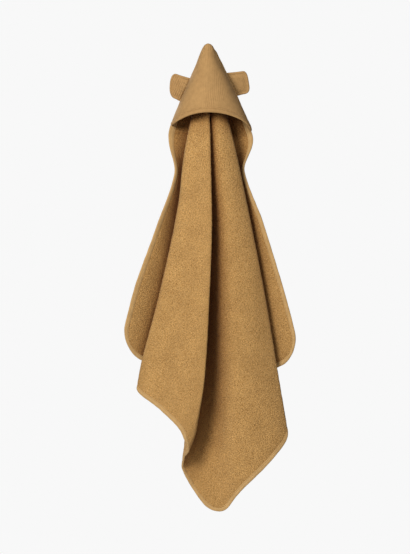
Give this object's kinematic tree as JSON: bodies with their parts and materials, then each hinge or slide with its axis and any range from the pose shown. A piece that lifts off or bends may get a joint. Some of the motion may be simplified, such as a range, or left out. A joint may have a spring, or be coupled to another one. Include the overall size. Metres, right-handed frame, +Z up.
{
  "type": "hooded baby towel",
  "caption": "Square terry towel with a gauze hood and two padded ears in one corner, hung in folds from a loop behind the hood.",
  "frame": {"origin": "inside the top of the hanging loop, where a peg or hook bears", "axes": "+Z up along the hanging length, -Y out from the wall towards the room, +X to the viewer's right"},
  "size_m": [0.3998, 0.1186, 1.0819],
  "materials": {
    "terry": "looped cotton terry pile, ochre",
    "gauze": "crinkled cotton double gauze, ochre",
    "binding": "smooth folded cotton tape, ochre",
    "tape": "narrow woven cotton tape, ochre",
    "wadding": "soft polyester wadding, off white",
    "label": "blank woven satin label, off white"
  },
  "bodies": {
    "towel": {"terry_panel": "terry", "edge_binding": "binding", "binding_join": "binding", "hood_panel": "gauze", "hood_lining": "terry", "hood_hem_band": "gauze"},
    "ear_left": {"ear_left_front": "gauze", "ear_left_wadding": "wadding", "ear_left_back": "gauze"},
    "ear_right": {"ear_right_front": "gauze", "ear_right_wadding": "wadding", "ear_right_back": "gauze"},
    "loop": {"hanging_loop": "tape"},
    "label": {"care_label": "label"}
  },
  "joints": [
    {"name": "ear_left_flap", "type": "hinge", "parent": "towel", "child": "ear_left", "pos_m": [-0.05585, 0.03089, -0.0977], "axis": [0.3976, -0.3019, 0.8665], "range_deg": [-50, 40], "stiffness_Nm_per_rad": 0.03},
    {"name": "ear_right_flap", "type": "hinge", "parent": "towel", "child": "ear_right", "pos_m": [0.05877, 0.02367, -0.08631], "axis": [0.4104, 0.3009, -0.8608], "range_deg": [-50, 40], "stiffness_Nm_per_rad": 0.03},
    {"name": "loop_swing", "type": "hinge", "parent": "towel", "child": "loop", "pos_m": [0, 0, -0.038], "axis": [1, 0, 0], "range_deg": [-110, 0], "stiffness_Nm_per_rad": 0.003},
    {"name": "label_flip", "type": "hinge", "parent": "towel", "child": "label", "pos_m": [0.13593, 0.05058, -0.4972], "axis": [1, 0, 0], "range_deg": [0, 150]}
  ]
}
